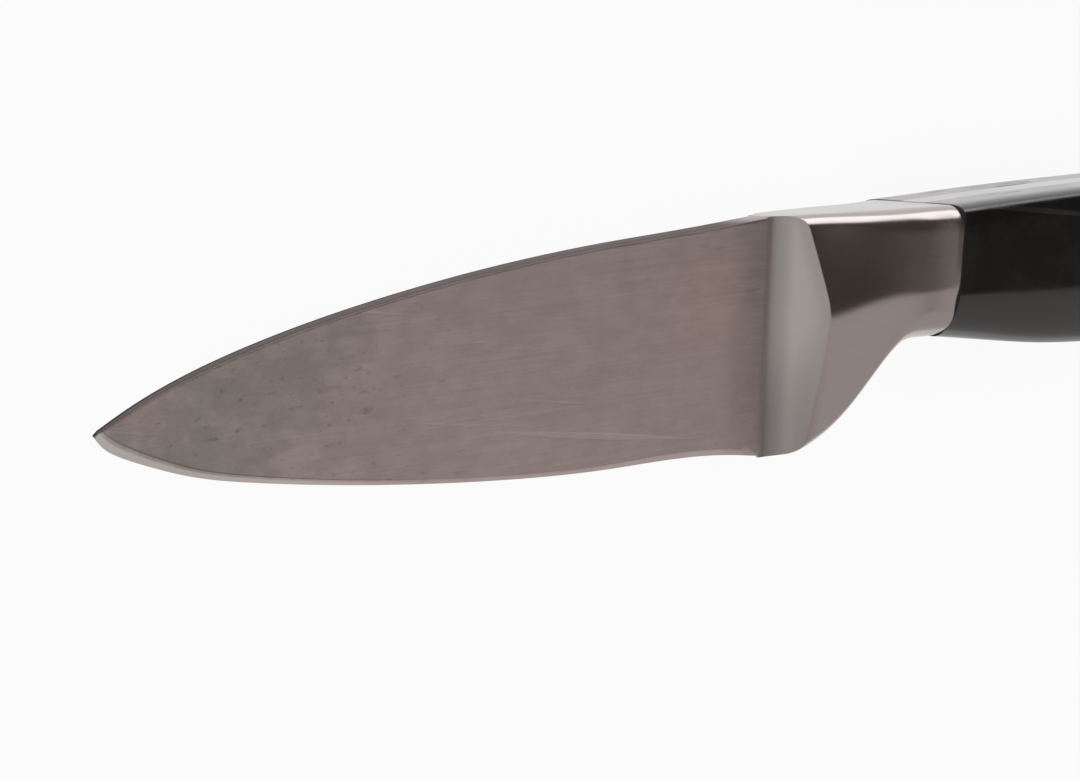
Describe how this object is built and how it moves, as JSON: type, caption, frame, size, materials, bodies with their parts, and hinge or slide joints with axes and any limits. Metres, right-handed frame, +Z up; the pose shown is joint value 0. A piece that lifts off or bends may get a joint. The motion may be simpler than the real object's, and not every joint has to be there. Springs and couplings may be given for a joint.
{
  "type": "paring knife",
  "caption": "forged paring knife with a full bolster, a full tang and riveted black scales, lying on its side",
  "frame": {"origin": "On the lower scale's flat, which the knife lies on, on the length axis and halfway along it between the first two rivets.", "axes": "+X from the tip to the butt, +Y from the cutting edge to the spine, +Z up through the knife's thickness."},
  "size_m": [0.208, 0.0231, 0.0132],
  "materials": {
    "steel": "worn satin, scratched along its length",
    "scale": "polished black",
    "rivet": "ground flush and brushed"
  },
  "bodies": {
    "root": {"forged_blank": "steel", "upper_scale": "scale", "lower_scale": "scale", "front_rivet_sleeve": "rivet", "front_rivet_pin": "rivet", "middle_rivet_sleeve": "rivet", "middle_rivet_pin": "rivet", "rear_rivet_sleeve": "rivet", "rear_rivet_pin": "rivet"}
  },
  "joints": []
}
